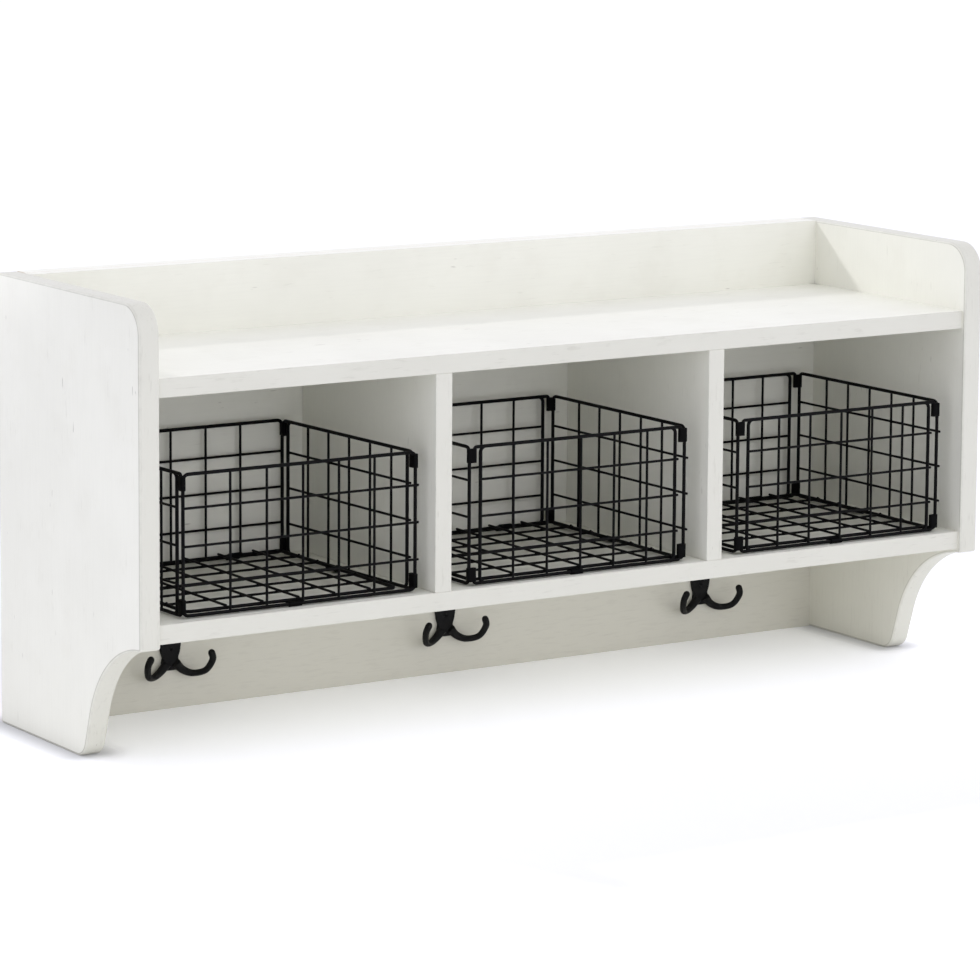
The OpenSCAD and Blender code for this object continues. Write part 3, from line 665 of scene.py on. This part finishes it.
# a basket between the middles of its rods, narrower than its cubby by cubby_room
low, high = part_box("divider_right")
cubby_pitch, cubby_room = low.x + high.x, 0.0495
basket_w, basket_d, basket_h = cubby_pitch - (high.x - low.x) - cubby_room, 0.242, 0.1385
rod_r, wire_r, bend_r, bead_r = 0.0018, 0.0013, 0.006, 0.0016
# how many wire pitches it holds each way, and how far a row of wires is off the middle
cells_w, cells_d, cells_h = 6.44, 6.4, 3.7
pitch_w, pitch_d, pitch_h = basket_w / cells_w, basket_d / cells_d, basket_h / cells_h
shift_w, shift_d, floor_shift, wall_drop = 0.0023, 0.0045, 0.0054, 0.001
# how far the wires lie from the middles of the rods, and stand proud of them at their ends
wall_set, wall_lift, floor_lift = 0.0002, 0.0023, 0.0027
wall_stub, floor_stub, floor_stub_back = 0.0005, 0.001, 0.0005
# from a wall to the next at the corners, plain or across a clip, and to the floor inside
corner_gap, link_gap = 0.001, 0.0124
floor_in, floor_in_back, floor_up = 0.0052, 0.0068, 0.0028
# the fingers that the narrower walls' rods end in, inside the corner clips
finger_reach, finger_bend, finger_long = 0.0072, 0.003, 0.0135

panel = Pattern("wire_panel", Width=float, Height=float, Bend=float, Rod=float, Wire=float,
                Uprights=int, Upright_Pitch=float, Upright_Shift=float, Upright_Lift=float,
                Upright_Low=float, Upright_High=float, Levels=int, Level_Pitch=float,
                Level_Centre=float, Level_Lift=float, Level_Stub=float, Spine=float, Finger=float, Bead=float,
                Place=tuple, Turn=tuple, Material=bpy.types.Material)
half_w = panel.maths("MULTIPLY", panel.input("Width"), 0.5)
flat_loop = panel.node("GeometryNodeCurvePrimitiveQuadrilateral", None,
                       {"Width": panel.input("Width"), "Height": panel.input("Height")})
flat_loop = panel.node("GeometryNodeFilletCurve", {"mode": "POLY"},
                       {"Curve": flat_loop, "Count": 7, "Radius": panel.input("Bend")})
loop = panel.node("GeometryNodeTransform", None,
                  {"Geometry": flat_loop, "Rotation": (math.pi / 2, 0, 0),
                   "Translation": panel.xyz(z=panel.maths("MULTIPLY", panel.input("Height"), 0.5))})


def centred_start(count, pitch, middle):
    """Where an evenly pitched row about a middle begins."""
    spread = panel.maths("MULTIPLY", panel.maths("SUBTRACT", panel.input(count), 1.0), panel.input(pitch))
    return panel.maths("SUBTRACT", panel.input(middle), panel.maths("MULTIPLY", spread, 0.5))


upright_x = centred_start("Uprights", "Upright_Pitch", "Upright_Shift")
level_z = centred_start("Levels", "Level_Pitch", "Level_Centre")
upright_row = panel.node("GeometryNodeMeshLine", None,
                         {"Count": panel.input("Uprights"), "Start Location": panel.xyz(upright_x),
                          "Offset": panel.xyz(panel.input("Upright_Pitch"))})
level_row = panel.node("GeometryNodeMeshLine", None,
                       {"Count": panel.input("Levels"), "Start Location": panel.xyz(z=level_z),
                        "Offset": panel.xyz(z=panel.input("Level_Pitch"))})
# where there is a spine, it stands in the place of the middle level wire
middle_index = panel.maths("MULTIPLY", panel.maths("SUBTRACT", panel.input("Levels"), 1.0), 0.5)
index = panel.node("GeometryNodeInputIndex")
is_middle = panel.maths("COMPARE", index, middle_index)
has_spine = panel.maths("GREATER_THAN", panel.input("Spine"), 0.0)
level_row = panel.node("GeometryNodeDeleteGeometry", None,
                       {"Geometry": level_row, "Selection": panel.maths("MULTIPLY", is_middle, has_spine)})
upright_z = panel.maths("MULTIPLY", panel.input("Upright_Low"), -1.0)
upright_end = panel.maths("ADD", panel.input("Height"), panel.input("Upright_High"))
upright = panel.node("GeometryNodeCurvePrimitiveLine", None,
                     {"Start": panel.xyz(0.0, panel.input("Upright_Lift"), upright_z),
                      "End": panel.xyz(0.0, panel.input("Upright_Lift"), upright_end)})
level_end = panel.maths("ADD", half_w, panel.input("Level_Stub"))
level_start = panel.maths("MULTIPLY", level_end, -1.0)
level_wire = panel.node("GeometryNodeCurvePrimitiveLine", None,
                        {"Start": panel.xyz(level_start, panel.input("Level_Lift")),
                         "End": panel.xyz(level_end, panel.input("Level_Lift"))})
left_post = panel.maths("MULTIPLY", half_w, -1.0)
spine = panel.node("GeometryNodeCurvePrimitiveLine", None,
                   {"Start": panel.xyz(left_post, 0.0, panel.input("Level_Centre")),
                    "End": panel.xyz(half_w, 0.0, panel.input("Level_Centre"))})
spine = panel.node("GeometryNodeSwitch", {"input_type": "GEOMETRY"}, {"Switch": has_spine, "True": spine})
wires = panel.node("GeometryNodeJoinGeometry", None, {"Geometry": [
    panel.node("GeometryNodeInstanceOnPoints", None, {"Points": upright_row, "Instance": upright}),
    panel.node("GeometryNodeInstanceOnPoints", None, {"Points": level_row, "Instance": level_wire})]})
wires = panel.node("GeometryNodeRealizeInstances", None, {"Geometry": wires})
# fingers: the level rods run on past the posts, bend and end in the corner clips
finger_x = panel.maths("ADD", half_w, panel.input("Finger"))
finger_start = panel.xyz(panel.maths("SUBTRACT", half_w, bend_r), z=panel.input("Height"))
finger_middle = panel.maths("SUBTRACT", panel.input("Height"), finger_long / 2)
finger_end = panel.maths("SUBTRACT", panel.input("Height"), finger_long)
finger = panel.node("GeometryNodeCurvePrimitiveQuadrilateral", {"mode": "POINTS"}, {
    "Point 1": finger_start, "Point 2": panel.xyz(finger_x, z=panel.input("Height")),
    "Point 3": panel.xyz(finger_x, z=finger_middle), "Point 4": panel.xyz(finger_x, z=finger_end)})
finger = panel.node("GeometryNodeSetSplineCyclic", None, {"Geometry": finger, "Cyclic": False})
finger = panel.node("GeometryNodeFilletCurve", {"mode": "POLY"},
                    {"Curve": finger, "Count": 5, "Radius": finger_bend})
upside_down = panel.node("GeometryNodeTransform", None,
                         {"Geometry": finger, "Scale": (1, 1, -1),
                          "Translation": panel.xyz(z=panel.input("Height"))})
fingers = panel.node("GeometryNodeJoinGeometry", None, {"Geometry": [finger, upside_down]})
other_end = panel.node("GeometryNodeTransform", None, {"Geometry": fingers, "Scale": (-1, 1, 1)})
fingers = panel.node("GeometryNodeJoinGeometry", None, {"Geometry": [fingers, other_end]})
has_fingers = panel.maths("GREATER_THAN", panel.input("Finger"), 0.0)
fingers = panel.node("GeometryNodeSwitch", {"input_type": "GEOMETRY"},
                     {"Switch": has_fingers, "True": fingers})
rods = panel.node("GeometryNodeJoinGeometry", None, {"Geometry": [loop, spine, fingers]})


def drawn(curve, radius, sides):
    """Wire or rod with the radius, along a curve."""
    section = panel.node("GeometryNodeCurvePrimitiveCircle", None,
                         {"Resolution": sides, "Radius": panel.input(radius)})
    return panel.node("GeometryNodeCurveToMesh", None,
                      {"Curve": curve, "Profile Curve": section, "Fill Caps": True})


rods = drawn(rods, "Rod", 14)
wires = drawn(wires, "Wire", 12)
# weld beads where the wires cross, and where the level ones meet the loop's posts
bead = panel.node("GeometryNodeMeshUVSphere", None,
                  {"Segments": 8, "Rings": 6, "Radius": panel.input("Bead")})
both_lifts = panel.maths("ADD", panel.input("Level_Lift"), panel.input("Upright_Lift"))
bead_y = panel.maths("MULTIPLY", both_lifts, 0.5)
post_row = panel.node("GeometryNodeMeshLine", None,
                      {"Count": 2, "Start Location": panel.xyz(left_post),
                       "Offset": panel.xyz(panel.input("Width"))})
crossing_x = panel.node("GeometryNodeJoinGeometry", None, {"Geometry": [upright_row, post_row]})
bead_row = panel.node("GeometryNodeInstanceOnPoints", None, {"Points": level_row, "Instance": bead})
bead_row = panel.node("GeometryNodeRealizeInstances", None, {"Geometry": bead_row})
beads = panel.node("GeometryNodeInstanceOnPoints", None, {"Points": crossing_x, "Instance": bead_row})
beads = panel.node("GeometryNodeTransform", None, {"Geometry": beads, "Translation": panel.xyz(y=bead_y)})
whole = panel.node("GeometryNodeJoinGeometry", None, {"Geometry": [rods, wires, beads]})
panel.finish(panel.node("GeometryNodeTransform", None,
                        {"Geometry": whole, "Translation": panel.input("Place"),
                         "Rotation": panel.input("Turn")}))


def weave(name, body, **sizes):
    """A wire panel from the pattern, in the place of its plain solid."""
    made = panel.grow(name + "_wires", bpy.data.meshes.new(name), Bend=bend_r, Rod=rod_r, Wire=wire_r,
                      Uprights=5, Bead=bead_r, Material=coat.material, **sizes)
    made.data.shade_smooth()
    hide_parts(name)
    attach(made, body)


def plan(rack, wide_front):
    """How far a basket's sides are turned, its front's and its sides' widths between the
    posts, and how far its sides are from its middle."""
    turned = math.atan2(rack, basket_d)
    if wide_front:
        return turned, basket_w, basket_d - 2 * link_gap, basket_w / 2 - corner_gap
    return turned, basket_w - 2 * link_gap, basket_d - 2 * corner_gap, basket_w / 2


# basket: (middle, racking of its back to the left, whether front and back pass the sides)
rod_base = floor_z + 0.153
baskets = {"left": (Vector((0.003 - cubby_pitch, -0.161, rod_base)), 0.013, True),
           "middle": (Vector((0.0005, -0.165, rod_base)), 0.004, False),
           "right": (Vector((cubby_pitch, -0.164, rod_base)), 0.005, False)}
for side, (middle, rack, wide_front) in baskets.items():
    lean, front_w, side_w, side_x = plan(rack, wide_front)
    wall = dict(Height=basket_h, Upright_Lift=-wall_set, Upright_Low=0.0, Upright_High=0.0, Levels=3,
                Level_Pitch=pitch_h, Level_Centre=basket_h / 2 - wall_drop, Level_Lift=-wall_lift,
                Level_Stub=rod_r + wall_stub, Spine=0.0)
    body = f"basket_{side}"
    for end, face in ((-1, "front"), (1, "back")):
        weave(f"{side}_basket_{face}", body, Width=front_w, Upright_Pitch=pitch_w,
              Upright_Shift=shift_w if end < 0 else 0.0, Finger=0.0 if wide_front else finger_reach,
              Place=middle + Vector((-end * rack / 2, end * basket_d / 2, 0)),
              Turn=(0, 0, math.pi if end > 0 else 0), **wall)
    for end, face in ((-1, "left_side"), (1, "right_side")):
        weave(f"{side}_basket_{face}", body, Width=side_w, Upright_Pitch=pitch_d,
              Upright_Shift=-end * shift_d, Finger=finger_reach if wide_front else 0.0,
              Place=middle + Vector((end * side_x, 0, 0)), Turn=(0, 0, lean + end * math.pi / 2), **wall)
    floor_back = basket_d / 2 - floor_in_back
    floor_long = floor_back + basket_d / 2 - floor_in
    weave(f"{side}_basket_floor", f"basket_floor_{side}", Width=2 * (side_x - floor_in) - rack,
          Height=floor_long, Upright_Pitch=pitch_w, Upright_Shift=floor_shift, Upright_Lift=floor_lift,
          Upright_Low=rod_r + floor_stub_back, Upright_High=rod_r + floor_stub,
          Levels=5, Level_Pitch=pitch_d, Level_Centre=floor_back,
          Level_Lift=floor_lift - 2 * wire_r + wall_set, Level_Stub=rod_r + floor_stub, Spine=1.0,
          Finger=0.0, Place=middle + Vector((0, floor_back, floor_up)), Turn=(math.pi / 2, 0, 0))

# ---- Basket clips -------------------------------------------------------------------
# Strips of thin sheet folded round two neighbouring rods and pinched flat between them.
# The corner ones hinge the walls, and the floor hangs in the ones along the bottom.
clip_long, clip_wrap, clip_bore = 0.014, 0.0027, 0.0019
clip_lift, clip_edge, clip_waist = 0.0018, 0.00015, 0.0005
sheet = Finish("black_sheet_coat")
orange = sheet.noise(sheet.place, 900.0, 3.0, 0.55)
sheet.set(Base_Color=sheet.mix(orange, (0.0010, 0.0010, 0.0010, 1), (0.004, 0.004, 0.004, 1)),
          Specular_IOR_Level=0.04, Roughness=sheet.step(orange, 0.3, 0.7, 0.42, 0.55),
          Normal=sheet.bump(orange, 0.25, 0.0003))


def folded_clip(p, q, z_low):
    """A clip round two posts at p and q in plan: a flat outline with two bores, thickened
    upwards with rounded edges, its ends cut a little hollow."""
    span, across = (q - p).length, (q - p).normalized()
    outline = ([clip_wrap * ray for ray in rays(90, 270, 12)]
               + [Vector((span, 0)) + clip_wrap * ray for ray in rays(-90, 90, 12)])
    flat = bpy.data.curves.new("clip", "CURVE")
    flat.dimensions, flat.fill_mode = "2D", "BOTH"
    flat.extrude, flat.bevel_depth, flat.bevel_resolution = clip_long / 2 - clip_edge, clip_edge, 1
    flat.offset = -clip_edge
    for ring in (outline, [clip_bore * ray for ray in rays(0, 345, 23)],
                 [Vector((span, 0)) + clip_bore * ray for ray in rays(0, 345, 23)]):
        line = flat.splines.new("POLY")
        line.points.add(len(ring) - 1)
        line.points.foreach_set("co", [value for u, v in ring for value in (u, v, 0, 1)])
        line.use_cyclic_u = True
    folded = bpy.data.meshes.new_from_object(bpy.data.objects.new("clip", flat))
    for corner in folded.vertices:
        u, v, z = corner.co
        share = max(0.0, 1 - (2 * u / span - 1) ** 2)
        z *= 1 - share * clip_waist / (clip_long / 2)
        place = p + across * u + Vector((-across.y, across.x)) * v
        corner.co = (place.x, place.y, z + z_low + clip_long / 2)
    return folded


for side, (middle, rack, wide_front) in baskets.items():
    lean, front_w, side_w, side_x = plan(rack, wide_front)
    side_end = side_w / 2 * Vector((-math.sin(lean), math.cos(lean)))
    shape = bmesh.new()
    for end in (-1, 1):
        for hand in (-1, 1):
            p = Vector((hand * front_w / 2 - end * rack / 2, end * basket_d / 2)) + middle.xy
            q = Vector((hand * side_x, 0)) + end * side_end + middle.xy
            # one of the two walls reaches into the clip with its fingers
            if wide_front:
                q += (p - q).normalized() * finger_reach
            else:
                p += (q - p).normalized() * finger_reach
            for z in (clip_lift, basket_h - clip_lift - clip_long):
                shape.from_mesh(folded_clip(p, q, middle.z + z))
    bmesh.ops.recalc_face_normals(shape, faces=shape.faces)
    name = f"{side}_basket_corner_clips"
    folded = bpy.data.meshes.new(name)
    shape.to_mesh(folded)
    shape.free()
    coated(folded, sheet.material)
    clips = placed(name + "_folded", folded)
    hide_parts(name)
    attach(clips, f"basket_{side}")
    coated(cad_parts[f"{side}_basket_floor_clips"].data, sheet.material)
